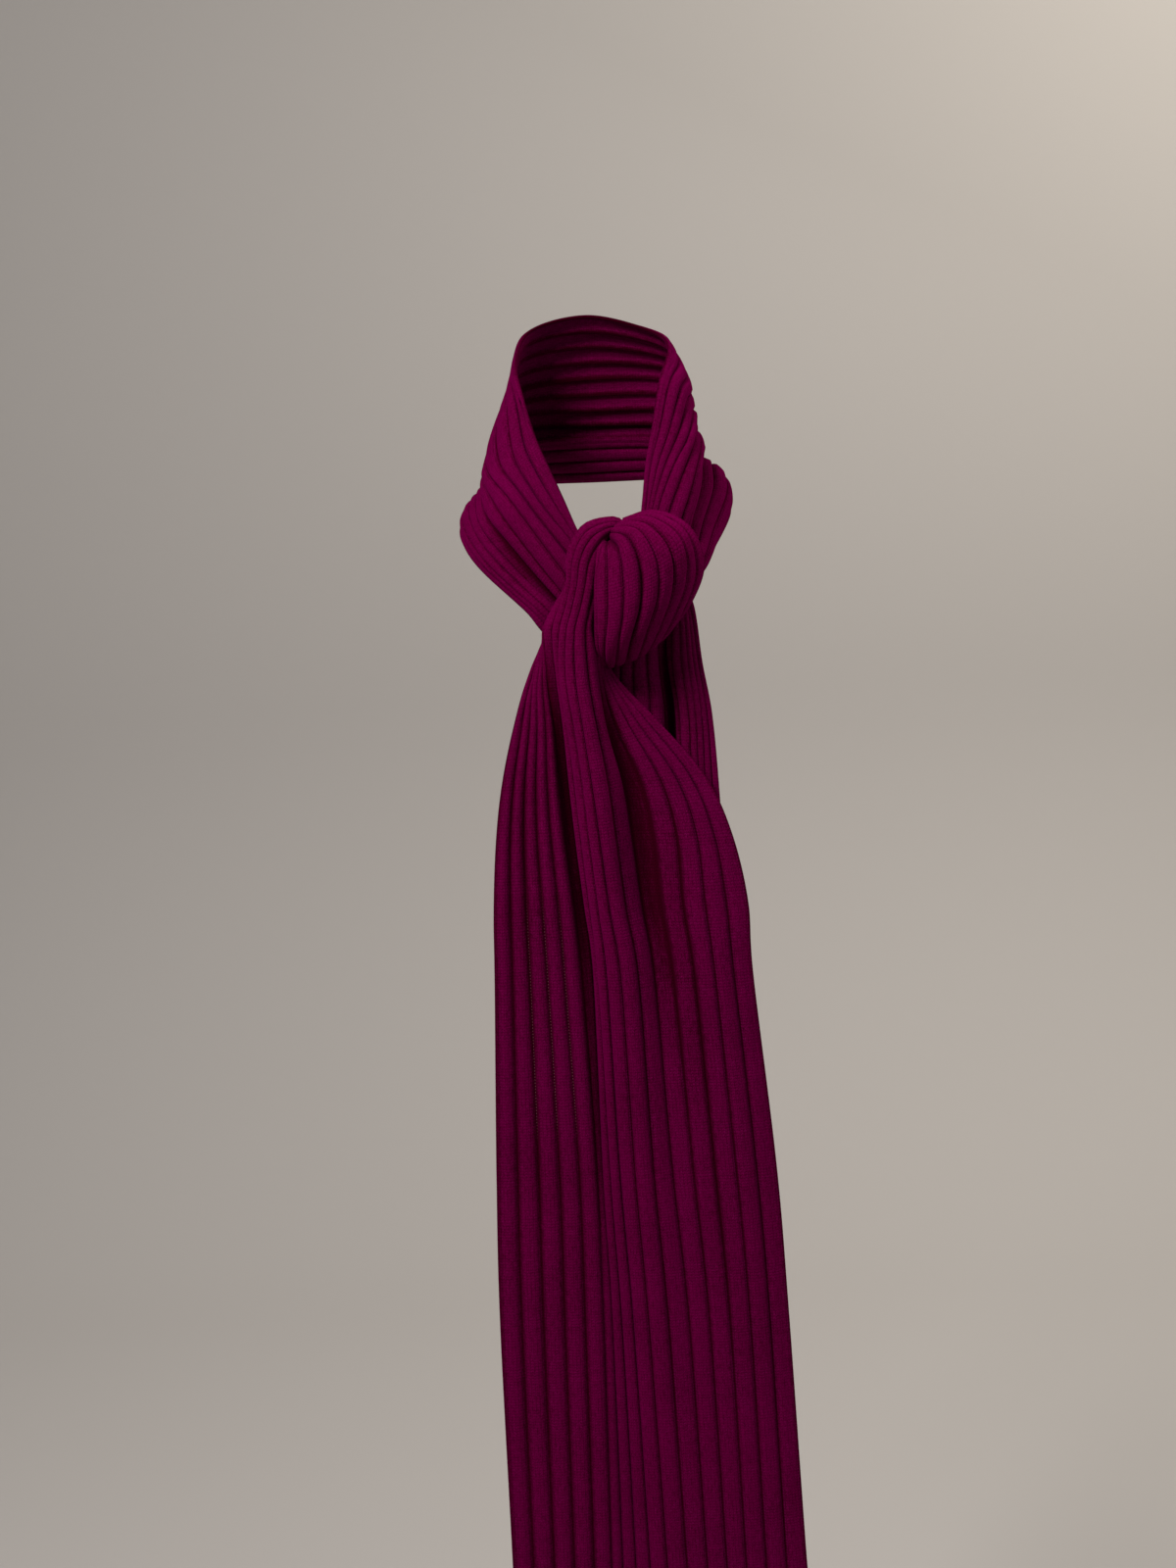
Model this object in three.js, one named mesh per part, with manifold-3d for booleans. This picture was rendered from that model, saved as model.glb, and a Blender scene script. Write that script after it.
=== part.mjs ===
// A wide-rib knit scarf, worn round the neck and tied in front with one half knot.
// Millimetres, +Z up. The wearer faces -Y. The origin is on the neck axis, level with
// the base of the neck, where the scarf is held.
import * as THREE from 'three';
import { mergeVertices } from 'three/addons/utils/BufferGeometryUtils.js';
import Module from 'manifold-3d';

const wasm = await Module();
wasm.setup();

// Driving dimensions
const CLOTH = 3.0;
const RIB_PITCH = 16;
const RIB_HEIGHT = 1.8;
const GATHERED_RIB_GAIN = 0.9;
const BACK_RIDGE = 1.2;
const STEEPEST_RIB = 0.32;
const GROOVE_SHARPNESS = 0.5;
const SEAM = 0.3;
const FACET_TOLERANCE = 0.1;

// How the surface is measured: the middle of a rib, how far apart two places are that
// give the cloth's direction, and how finely a line is stepped along to find its length.
const MID_RIB = 0.5;
const PROBE = 0.02;
const LENGTH_STEPS = 400;
const ROUNDING = 1e-6;

const YARN = 0x8a0a68;

// Each stretch of the strip is a table of sections, one row after another along its
// length. The columns are lines that run along the strip, each on the rib number that
// LINES gives for it, and a cell is that line's place in the section, as x, y, z.
const NECK_LINES = {
  neck: 0, upper: 2, face: 4, fold: 6, roll: 8, side: 10, brim: 11, under: 12.2, hem: 16,
};

// From behind the knot, up the wearer's right side, to the middle of the nape.
const NECK_LEFT = [
  { neck: [40, -62, -72], upper: [38, -63, -81], face: [36, -63, -94],
    fold: [32, -62, -107], roll: [27, -63, -115], side: [27, -64, -121],
    brim: [24, -58, -129], under: [15, -51, -124], hem: [17, -50, -97] },
  { neck: [14, -74, -80], upper: [12, -77, -91], face: [8, -77, -106],
    fold: [3, -74, -121], roll: [-3, -73, -129], side: [-8, -72, -135],
    brim: [-9, -69, -137], under: [-7, -60, -134], hem: [5, -62, -100] },
  { neck: [-6, -83, -78], upper: [-9, -87, -87], face: [-14, -90, -102],
    fold: [-20, -79, -119], roll: [-26, -83, -127], side: [-33, -80, -131],
    brim: [-36, -76, -134], under: [-31, -67, -131], hem: [-14, -68, -96] },
  { neck: [-14, -79, -62], upper: [-18, -84, -70], face: [-27, -90, -85],
    fold: [-37, -75, -104], roll: [-45, -81, -110], side: [-50, -76, -113],
    brim: [-52, -71, -115], under: [-47, -62, -111], hem: [-30, -64, -80] },
  { neck: [-23, -70, -39], upper: [-35, -77, -47], face: [-47, -79, -56],
    fold: [-66, -61, -68], roll: [-77, -55, -75], side: [-84, -43, -80],
    brim: [-86, -37, -83], under: [-80, -30, -79], hem: [-62, -38, -56] },
  { neck: [-32, -60, -17], upper: [-47, -67, -27], face: [-61, -65, -36],
    fold: [-79, -43, -48], roll: [-91, -28, -51], side: [-98, -12, -59],
    brim: [-98, -6, -64], under: [-91, 0, -63], hem: [-73, -6, -39] },
  { neck: [-42, -46, 9], upper: [-57, -50, -4], face: [-76, -31, -16],
    fold: [-83, -8, -28], roll: [-92, -1, -37], side: [-97, 10, -47],
    brim: [-97, 16, -54], under: [-90, 22, -55], hem: [-74, 11, -29] },
  { neck: [-50, -26, 41], upper: [-60, -28, 29], face: [-78, 4, 1],
    fold: [-82, 24, -20], roll: [-85, 31, -29], side: [-88, 35, -36],
    brim: [-89, 37, -40], under: [-81, 40, -43], hem: [-66, 31, -16] },
  { neck: [-53, 8, 71], upper: [-58, 11, 52], face: [-68, 21, 28],
    fold: [-72, 31, 9], roll: [-76, 46, -8], side: [-81, 53, -21],
    brim: [-83, 56, -28], under: [-76, 56, -33], hem: [-63, 45, -3] },
  { neck: [-41, 48, 97], upper: [-48, 57, 76], face: [-53, 66, 53],
    fold: [-56, 70, 32], roll: [-63, 77, 11], side: [-70, 85, -7],
    brim: [-71, 87, -14], under: [-65, 80, -20], hem: [-52, 68, 12] },
  { neck: [3, 62, 107], upper: [3, 75, 85], face: [3, 83, 61],
    fold: [3, 88, 36], roll: [3, 97, 14], side: [3, 105, -5],
    brim: [3, 107, -12], under: [3, 99, -18], hem: [3, 84, 15] },
];

// From the middle of the nape, down the wearer's left side, to the knot.
const NECK_RIGHT = [
  { neck: [3, 62, 107], upper: [3, 75, 85], face: [3, 83, 61],
    fold: [3, 88, 36], roll: [3, 97, 14], side: [3, 105, -5],
    brim: [3, 107, -12], under: [3, 99, -18], hem: [3, 84, 15] },
  { neck: [50, 48, 92], upper: [60, 58, 74], face: [66, 66, 55],
    fold: [68, 70, 32], roll: [74, 78, 9], side: [80, 85, -7],
    brim: [81, 87, -14], under: [75, 80, -20], hem: [61, 69, 11] },
  { neck: [61, 11, 75], upper: [73, 15, 54], face: [77, 21, 30],
    fold: [79, 29, 11], roll: [85, 39, -7], side: [91, 46, -22],
    brim: [92, 49, -28], under: [85, 49, -34], hem: [71, 37, -3] },
  { neck: [53, -20, 48], upper: [66, -20, 40], face: [76, -5, 25],
    fold: [79, 4, 11], roll: [87, 16, -7], side: [94, 24, -23],
    brim: [97, 29, -34], under: [90, 31, -41], hem: [76, 21, -13] },
  { neck: [46, -42, 13], upper: [57, -46, 9], face: [70, -39, 5],
    fold: [80, -25, -1], roll: [83, -3, -11], side: [100, 6, -25],
    brim: [103, 13, -39], under: [96, 17, -46], hem: [79, 7, -19] },
  { neck: [40, -56, -14], upper: [48, -61, -16], face: [58, -63, -19],
    fold: [73, -57, -24], roll: [80, -26, -32], side: [100, -6, -38],
    brim: [102, 2, -51], under: [95, 7, -57], hem: [79, -6, -36] },
  { neck: [36, -70, -40], upper: [41, -73, -42], face: [48, -76, -43],
    fold: [64, -76, -48], roll: [71, -54, -56], side: [87, -38, -63],
    brim: [88, -26, -74], under: [81, -20, -76], hem: [70, -30, -53] },
  { neck: [32, -80, -64], upper: [36, -83, -66], face: [41, -86, -68],
    fold: [53, -88, -73], roll: [63, -75, -79], side: [75, -69, -87],
    brim: [74, -61, -93], under: [68, -54, -93], hem: [59, -63, -69] },
  { neck: [26, -84, -84], upper: [29, -87, -86], face: [33, -90, -88],
    fold: [39, -92, -92], roll: [47, -87, -96], side: [57, -78, -102],
    brim: [56, -73, -106], under: [50, -67, -105], hem: [46, -72, -85] },
];

// Over the front of the knot, from the pinch at its top left corner to its underside.
const WRAP_LINES = { crevice: 0, near: 1.7, crest: 3.6, far: 5.8, rim: 8 };
const KNOT_WRAP = [
  { crevice: [4, -119, -71], near: [8, -118, -67], crest: [12, -114, -62],
    far: [16, -108, -59], rim: [21, -98, -57] },
  { crevice: [0, -127, -85], near: [13, -134, -77], crest: [27, -132, -66],
    far: [38, -118, -57], rim: [42, -98, -52] },
  { crevice: [-2, -128, -100], near: [14, -140, -96], crest: [36, -141, -86],
    far: [56, -127, -72], rim: [64, -102, -62] },
  { crevice: [-3, -126, -122], near: [13, -138, -120], crest: [35, -140, -110],
    far: [58, -126, -98], rim: [74, -102, -86] },
  { crevice: [-3, -120, -141], near: [9, -128, -141], crest: [27, -130, -134],
    far: [48, -120, -124], rim: [66, -100, -110] },
  { crevice: [0, -108, -154], near: [7, -110, -155], crest: [22, -110, -150],
    far: [38, -106, -141], rim: [52, -94, -128] },
  { crevice: [2, -92, -152], near: [9, -90, -150], crest: [20, -90, -146],
    far: [34, -88, -138], rim: [46, -82, -126] },
];

// Out of the knot's top left as an arch, then down its side as the front tail.
const TAIL_LINES = {
  left: 0, fold: 4.7, tuck: 6, brow: 8, crest: 9.5, valley: 11, flange: 13.3, right: 16,
};
const ARCH = [
  { left: [20, -90, -62], fold: [20, -97, -60], tuck: [20, -100, -60], brow: [19, -103, -61],
    crest: [19, -105, -64], valley: [20, -104, -67], flange: [23, -100, -70], right: [25, -93, -71] },
  { left: [14, -90, -62], fold: [12, -97, -57], tuck: [12, -105, -56], brow: [10, -112, -60],
    crest: [9, -113, -65], valley: [11, -107, -70], flange: [15, -102, -74], right: [18, -95, -74] },
  { left: [3, -95, -66], fold: [-4, -102, -61], tuck: [-8, -110, -61], brow: [-3, -121, -67],
    crest: [2, -121, -72], valley: [6, -114, -77], flange: [8, -107, -80], right: [10, -99, -80] },
  { left: [-9, -97, -81], fold: [-16, -103, -79], tuck: [-18, -112, -79], brow: [-11, -123, -81],
    crest: [-4, -124, -84], valley: [1, -117, -87], flange: [2, -108, -89], right: [1, -100, -89] },
  { left: [-11, -95, -99], fold: [-17, -101, -98], tuck: [-20, -111, -98], brow: [-14, -122, -99],
    crest: [-7, -125, -100], valley: [-2, -119, -101], flange: [-2, -110, -102], right: [-3, -101, -103] },
  { left: [-21, -92, -114], fold: [-30, -99, -114], tuck: [-26, -109, -114], brow: [-18, -121, -115],
    crest: [-11, -125, -116], valley: [-6, -120, -117], flange: [-5, -111, -118], right: [-7, -102, -118] },
];

// The front tail's sections hang at one height each.
const FRONT_TAIL = [
  { z: -133, left: [-35, -94], fold: [-40, -104], tuck: [-33, -111], brow: [-23, -121],
    crest: [-15, -126], valley: [-8, -120], flange: [-5, -110], right: [-5, -100] },
  { z: -165, left: [-53, -106], fold: [-41, -112], tuck: [-32, -110], brow: [-24, -122],
    crest: [-15, -129], valley: [-4, -120], flange: [1, -109], right: [6, -100] },
  { z: -200, left: [-65, -112], fold: [-38, -117], tuck: [-29, -113], brow: [-20, -126],
    crest: [-11, -134], valley: [1, -121], flange: [18, -109], right: [38, -104] },
  { z: -240, left: [-75, -118], fold: [-37, -121], tuck: [-27, -116], brow: [-16, -129],
    crest: [-6, -137], valley: [11, -119], flange: [42, -116], right: [70, -112] },
  { z: -280, left: [-81, -123], fold: [-35, -124], tuck: [-24, -119], brow: [-13, -132],
    crest: [-2, -138], valley: [16, -121], flange: [53, -123], right: [87, -120] },
  { z: -330, left: [-85, -126], fold: [-31, -126], tuck: [-20, -121], brow: [-9, -133],
    crest: [3, -137], valley: [21, -124], flange: [56, -128], right: [97, -124] },
  { z: -385, left: [-87, -127], fold: [-28, -127], tuck: [-16, -123], brow: [-5, -132],
    crest: [10, -136], valley: [28, -127], flange: [62, -131], right: [99, -125] },
  { z: -530, left: [-93, -127], fold: [-23, -127], tuck: [-15, -126], brow: [-2, -130],
    crest: [15, -133], valley: [36, -128], flange: [72, -130], right: [112, -123] },
  { z: -644, left: [-96, -127], fold: [-23, -127], tuck: [-13, -125], brow: [3, -128],
    crest: [21, -131], valley: [44, -128], flange: [79, -129], right: [118, -122] },
  { z: -840, left: [-96, -128], fold: [-25, -126], tuck: [-13, -125], brow: [8, -126],
    crest: [28, -129], valley: [51, -129], flange: [85, -129], right: [126, -124] },
  { z: -905, left: [-97, -128], fold: [-26, -127], tuck: [-14, -125], brow: [9, -126],
    crest: [30, -130], valley: [54, -130], flange: [89, -128], right: [130, -126] },
];

const BACK_LINES = { left: 0, inner: 5.6, edge: 8.2, fold: 9.8, brink: 12, right: 16 };
const BACK_TAIL = [
  { z: -98, left: [4, -77], inner: [18, -81], edge: [31, -83], fold: [41, -79],
    brink: [50, -83], right: [60, -80] },
  { z: -120, left: [-3, -77], inner: [18, -83], edge: [35, -86], fold: [46, -81],
    brink: [57, -86], right: [68, -81] },
  { z: -160, left: [-14, -80], inner: [12, -87], edge: [34, -92], fold: [46, -83],
    brink: [58, -93], right: [72, -86] },
  { z: -200, left: [-28, -84], inner: [8, -90], edge: [36, -96], fold: [49, -86],
    brink: [62, -97], right: [78, -90] },
  { z: -260, left: [-44, -92], inner: [2, -96], edge: [33, -101], fold: [47, -92],
    brink: [61, -103], right: [81, -98] },
  { z: -340, left: [-58, -99], inner: [-8, -102], edge: [27, -106], fold: [42, -99],
    brink: [57, -108], right: [83, -104] },
  { z: -450, left: [-70, -103], inner: [-12, -105], edge: [23, -108], fold: [40, -103],
    brink: [57, -108], right: [88, -106] },
  { z: -600, left: [-76, -106], inner: [-14, -107], edge: [25, -109], fold: [43, -106],
    brink: [61, -109], right: [92, -108] },
  { z: -720, left: [-78, -107], inner: [-14, -108], edge: [26, -110], fold: [45, -107],
    brink: [64, -110], right: [94, -109] },
];

// The knot's tightly gathered inside, one rounded solid.
const CORE = { centre: [24, -96, -104], radii: [36, 25, 42], around: 10 };

// How finely each stretch is divided: along its length, and the steps in each rib.
const STEPS = {
  neck_band_left: { along: 13, perRib: 3 },
  neck_band_right: { along: 12, perRib: 3 },
  knot_wrap: { along: 10, perRib: 4 },
  knot_arch: { along: 7, perRib: 3 },
  front_tail: { along: 14, perRib: 3 },
  back_tail: { along: 9, perRib: 3 },
};

const hanging = (rows) => rows.map(({ z, ...lines }) => Object.fromEntries(
  Object.entries(lines).map(([name, [x, y]]) => [name, [x, y, z]]),
));

// A smooth curve through knots at uneven places, which doesn't overshoot.
function through(places, values, at) {
  const last = places.length - 1;
  let i = 0;
  while (i < last - 1 && at > places[i + 1]) i += 1;
  const slope = (k) => {
    const a = Math.max(k - 1, 0);
    const b = Math.min(k + 1, last);
    return (values[b] - values[a]) / (places[b] - places[a]);
  };
  const span = places[i + 1] - places[i];
  const t = (at - places[i]) / span;
  const [t2, t3] = [t * t, t * t * t];
  return (2 * t3 - 3 * t2 + 1) * values[i] + (t3 - 2 * t2 + t) * span * slope(i)
    + (3 * t2 - 2 * t3) * values[i + 1] + (t3 - t2) * span * slope(i + 1);
}

// The middle of the cloth at a rib number and a place along the rows.
function middle(sheet, rib, along) {
  const names = Object.keys(sheet.lines);
  const places = Object.values(sheet.lines);
  const stations = sheet.rows.map((row, i) => i);
  const point = [0, 1, 2].map((axis) => {
    const across = sheet.rows.map((row) => through(places, names.map((n) => row[n][axis]), rib));
    return through(stations, across, along);
  });
  return new THREE.Vector3(...point);
}

// How far a rib stands up at a place across it, more where the cloth is gathered.
const crown = (rib) => Math.abs(Math.sin(Math.PI * rib)) ** GROOVE_SHARPNESS;

function ribHeight(rib, pitch) {
  const gathered = Math.max(1 - pitch / RIB_PITCH, 0);
  const height = RIB_HEIGHT * (1 + GATHERED_RIB_GAIN * gathered);
  return Math.min(height, STEEPEST_RIB * pitch) * crown(rib);
}

// The back of the cloth has a narrow ridge behind each groove of the front.
function ridgeHeight(rib, ribs) {
  const isGroove = rib > 0 && rib < ribs;
  return isGroove ? BACK_RIDGE * (1 - crown(rib)) : 0;
}

// Places along the rows that divide the sheet's middle line into even lengths.
function evenPlaces(sheet) {
  const rib = Math.max(...Object.values(sheet.lines)) / 2;
  const at = (i) => sheet.from + ((sheet.to - sheet.from) * i) / LENGTH_STEPS;
  const run = [0];
  for (let i = 1; i <= LENGTH_STEPS; i += 1) {
    run.push(run[i - 1] + middle(sheet, rib, at(i)).distanceTo(middle(sheet, rib, at(i - 1))));
  }
  return Array.from({ length: sheet.steps.along + 1 }, (_, k) => {
    const target = (run[LENGTH_STEPS] * k) / sheet.steps.along;
    return at(run.findIndex((length) => length >= target - ROUNDING));
  });
}

// The cloth's face on one side: the middle, moved out by the wall and the ribs there.
function facePoint(sheet, rib, along, side, grow) {
  const isRoom = grow > 0;
  const ribs = Math.max(...Object.values(sheet.lines));
  const end = sheet.rows.length - 1;
  const [r0, r1] = [Math.max(rib - PROBE, 0), Math.min(rib + PROBE, ribs)];
  const [a0, a1] = [Math.max(along - PROBE, 0), Math.min(along + PROBE, end)];
  const acrossCloth = middle(sheet, r1, along).sub(middle(sheet, r0, along));
  const pitch = acrossCloth.length() / (r1 - r0);
  acrossCloth.normalize();
  const alongCloth = middle(sheet, rib, a1).sub(middle(sheet, rib, a0)).normalize();
  const outward = new THREE.Vector3().crossVectors(alongCloth, acrossCloth).normalize();
  const front = ribHeight(isRoom ? MID_RIB : rib, pitch);
  const back = isRoom ? BACK_RIDGE : ridgeHeight(rib, ribs);
  const raised = side > 0 ? front : sheet.backRidges * back;
  const point = middle(sheet, rib, along);
  point.addScaledVector(outward, side * (CLOTH / 2 + raised + grow));
  if (rib === 0) point.addScaledVector(acrossCloth, -grow);
  if (rib === ribs) point.addScaledVector(acrossCloth, grow);
  if (along <= sheet.from) point.addScaledVector(alongCloth, -grow);
  if (along >= sheet.to) point.addScaledVector(alongCloth, grow);
  return point;
}

// A closed wall of cloth: a box whose two large faces are laid on the sheet's faces.
function wall(sheet, grow = 0) {
  const ribs = Math.max(...Object.values(sheet.lines));
  const box = new THREE.BoxGeometry(1, 1, 1, ribs * sheet.steps.perRib, sheet.steps.along, 1);
  box.deleteAttribute('normal');
  box.deleteAttribute('uv');
  const shape = mergeVertices(box);
  const place = shape.attributes.position;
  const places = sheet.evenly ? evenPlaces(sheet)
    : Array.from({ length: sheet.steps.along + 1 },
      (_, k) => sheet.from + ((sheet.to - sheet.from) * k) / sheet.steps.along);
  for (let i = 0; i < place.count; i += 1) {
    const rib = (place.getX(i) + 0.5) * ribs;
    const along = places[Math.round((0.5 - place.getY(i)) * sheet.steps.along)];
    place.setXYZ(i, ...facePoint(sheet, rib, along, Math.sign(place.getZ(i)), grow));
  }
  return shape;
}

function solid(shape) {
  const vertProperties = new Float32Array(shape.attributes.position.array);
  const triVerts = new Uint32Array(shape.index.array);
  const made = new wasm.Manifold(new wasm.Mesh({ numProp: 3, vertProperties, triVerts }));
  return made.volume() < 0 ? null : made;
}

function geometryOf(made) {
  const { numProp, vertProperties, triVerts } = made.getMesh();
  const shape = new THREE.BufferGeometry();
  const places = new Float32Array((vertProperties.length / numProp) * 3);
  for (let i = 0; i < places.length / 3; i += 1) {
    for (let axis = 0; axis < 3; axis += 1) {
      places[i * 3 + axis] = vertProperties[i * numProp + axis];
    }
  }
  shape.setAttribute('position', new THREE.BufferAttribute(places, 3));
  shape.setIndex([...triVerts]);
  shape.computeVertexNormals();
  return shape;
}

// Cuts room for the pieces that lie against this one, and keeps its largest part.
function clearOf(made, neighbours) {
  const cut = neighbours.reduce((rest, other) => rest.subtract(other), made);
  const parts = cut.decompose();
  const largest = parts.reduce((best, part) => (part.volume() > best.volume() ? part : best));
  return largest.simplify(FACET_TOLERANCE);
}

// The stretches, those that lie in front first. Each goes from one row of its table to
// another, and where the same cloth goes on as the next one they stop a seam apart.
const SHEETS = {
  knot_wrap: { rows: KNOT_WRAP, lines: WRAP_LINES, from: 0, to: 6 },
  knot_arch: { rows: [...ARCH, ...hanging(FRONT_TAIL)], lines: TAIL_LINES,
    from: 0, to: 6 },
  front_tail: { rows: [...ARCH, ...hanging(FRONT_TAIL)], lines: TAIL_LINES,
    from: 6.01, to: 16 },
  back_tail: { rows: hanging(BACK_TAIL), lines: BACK_LINES, from: 0, to: 8 },
  neck_band_left: { rows: NECK_LEFT, lines: NECK_LINES, from: 0, to: 9.993,
    evenly: true },
  neck_band_right: { rows: NECK_RIGHT, lines: NECK_LINES, from: 0, to: 7.7, evenly: true },
};

function core() {
  const ball = new THREE.SphereGeometry(1, CORE.around, CORE.around / 2);
  ball.deleteAttribute('normal');
  ball.deleteAttribute('uv');
  ball.scale(...CORE.radii);
  ball.translate(...CORE.centre);
  return solid(mergeVertices(ball));
}

function nodeMesh(name, made) {
  const material = new THREE.MeshStandardMaterial({ color: YARN, roughness: 0.95, metalness: 0 });
  const mesh = new THREE.Mesh(geometryOf(made), material);
  mesh.name = name;
  return mesh;
}

const scarf = new THREE.Group();
const room = [];
for (const [name, sheet] of Object.entries(SHEETS)) {
  sheet.steps = STEPS[name];
  sheet.backRidges = name.endsWith('tail') ? 1 : 0;
  const cloth = solid(wall(sheet));
  scarf.add(nodeMesh(name, clearOf(cloth, room)));
  room.push(cloth, solid(wall(sheet, SEAM)));
}
scarf.add(nodeMesh('knot_core', clearOf(core(), room)));

export default scarf;
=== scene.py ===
# %% [markdown]
# # A wide-rib knit scarf, worn and tied in front
#
# The scarf is one long strip of fine rib knit. It goes round the neck and is tied in
# front with one half knot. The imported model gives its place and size, and this script
# gives it its looks: ribs, creases, knit stitches, colour and light.

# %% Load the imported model
import math

import bmesh
import bpy
import numpy as np
from mathutils import Matrix, Vector


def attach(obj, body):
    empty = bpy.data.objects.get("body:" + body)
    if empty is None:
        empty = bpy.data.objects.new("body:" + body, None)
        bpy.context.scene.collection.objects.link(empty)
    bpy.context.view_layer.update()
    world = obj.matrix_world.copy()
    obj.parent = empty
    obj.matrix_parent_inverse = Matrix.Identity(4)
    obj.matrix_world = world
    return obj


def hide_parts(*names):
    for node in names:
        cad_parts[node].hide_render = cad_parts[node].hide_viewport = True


MM = 0.001
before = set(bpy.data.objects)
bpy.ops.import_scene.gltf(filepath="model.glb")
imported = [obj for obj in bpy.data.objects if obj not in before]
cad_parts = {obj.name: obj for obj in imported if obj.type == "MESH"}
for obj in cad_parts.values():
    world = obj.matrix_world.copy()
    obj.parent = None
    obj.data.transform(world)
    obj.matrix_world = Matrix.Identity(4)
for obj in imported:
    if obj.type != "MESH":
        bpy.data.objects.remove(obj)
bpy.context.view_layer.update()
print("nodes:", ", ".join(sorted(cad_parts)))

# %% [markdown]
# ## The camera
#
# The photograph is taken from a little above the knot, about 1.3 metres away, looking 8
# degrees down and tipped 2.5 degrees. A long side of 1600 pixels at a focal length of
# 1800 pixels makes a lens of 40.5 mm on a sensor of 36 mm.

# %% Place the camera
PHOTO_LONG_SIDE = 1600
FOCAL_PIXELS = 1800
LOOK_AT = Vector((-13.8, -125, -240)) * MM
CAMERA_DISTANCE = 1.26
LOOKS_DOWN = math.radians(8)
TIPPED = math.radians(-2.5)


def make_camera():
    data = bpy.data.cameras.new("camera")
    data.sensor_width = 36
    data.lens = data.sensor_width * FOCAL_PIXELS / PHOTO_LONG_SIDE
    camera = bpy.data.objects.new("camera", data)
    bpy.context.collection.objects.link(camera)
    turned = Matrix.Rotation(math.pi / 2 - LOOKS_DOWN, 4, "X") @ Matrix.Rotation(TIPPED, 4, "Z")
    back = turned @ Vector((0, 0, CAMERA_DISTANCE))
    camera.matrix_world = Matrix.Translation(LOOK_AT + back) @ turned
    return camera


bpy.context.scene.camera = make_camera()
print("camera at", [round(x, 3) for x in bpy.context.scene.camera.matrix_world.translation])

# %% [markdown]
# ## The lines of the cloth
#
# Every stretch of the strip is a table. A row is one section across the cloth, and a
# column is a line that runs along it, such as the neck edge, a fold or the hem. A cell is
# that line's place in the section, in millimetres. The number in LINES is the rib that
# the line runs on, counted from one side edge of the strip to the other.

# %% The stretch round the neck
NECK_LINES = dict(neck=0, upper=2, face=4, fold=6, roll=8, side=10, brim=11, under=12.2, hem=16)

# From behind the knot, up the wearer's right side, to the middle of the nape.
NECK_LEFT = [
    dict(neck=(40, -62, -72), upper=(38, -63, -81), face=(36, -63, -94),
         fold=(32, -62, -107), roll=(27, -63, -115), side=(27, -64, -121),
         brim=(24, -58, -129), under=(15, -51, -124), hem=(17, -50, -97)),
    dict(neck=(14, -74, -80), upper=(12, -77, -91), face=(8, -77, -106),
         fold=(3, -74, -121), roll=(-3, -73, -129), side=(-8, -72, -135),
         brim=(-9, -69, -137), under=(-7, -60, -134), hem=(5, -62, -100)),
    dict(neck=(-6, -83, -78), upper=(-9, -87, -87), face=(-14, -90, -102),
         fold=(-20, -79, -119), roll=(-26, -83, -127), side=(-33, -80, -131),
         brim=(-36, -76, -134), under=(-31, -67, -131), hem=(-14, -68, -96)),
    dict(neck=(-14, -79, -62), upper=(-18, -84, -70), face=(-27, -90, -85),
         fold=(-37, -75, -104), roll=(-45, -81, -110), side=(-50, -76, -113),
         brim=(-52, -71, -115), under=(-47, -62, -111), hem=(-30, -64, -80)),
    dict(neck=(-23, -70, -39), upper=(-35, -77, -47), face=(-47, -79, -56),
         fold=(-66, -61, -68), roll=(-77, -55, -75), side=(-84, -43, -80),
         brim=(-86, -37, -83), under=(-80, -30, -79), hem=(-62, -38, -56)),
    dict(neck=(-32, -60, -17), upper=(-47, -67, -27), face=(-61, -65, -36),
         fold=(-79, -43, -48), roll=(-91, -28, -51), side=(-98, -12, -59),
         brim=(-98, -6, -64), under=(-91, 0, -63), hem=(-73, -6, -39)),
    dict(neck=(-42, -46, 9), upper=(-57, -50, -4), face=(-76, -31, -16),
         fold=(-83, -8, -28), roll=(-92, -1, -37), side=(-97, 10, -47),
         brim=(-97, 16, -54), under=(-90, 22, -55), hem=(-74, 11, -29)),
    dict(neck=(-50, -26, 41), upper=(-60, -28, 29), face=(-78, 4, 1),
         fold=(-82, 24, -20), roll=(-85, 31, -29), side=(-88, 35, -36),
         brim=(-89, 37, -40), under=(-81, 40, -43), hem=(-66, 31, -16)),
    dict(neck=(-53, 8, 71), upper=(-58, 11, 52), face=(-68, 21, 28),
         fold=(-72, 31, 9), roll=(-76, 46, -8), side=(-81, 53, -21),
         brim=(-83, 56, -28), under=(-76, 56, -33), hem=(-63, 45, -3)),
    dict(neck=(-41, 48, 97), upper=(-48, 57, 76), face=(-53, 66, 53),
         fold=(-56, 70, 32), roll=(-63, 77, 11), side=(-70, 85, -7),
         brim=(-71, 87, -14), under=(-65, 80, -20), hem=(-52, 68, 12)),
    dict(neck=(3, 62, 107), upper=(3, 75, 85), face=(3, 83, 61),
         fold=(3, 88, 36), roll=(3, 97, 14), side=(3, 105, -5),
         brim=(3, 107, -12), under=(3, 99, -18), hem=(3, 84, 15)),
]

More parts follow.
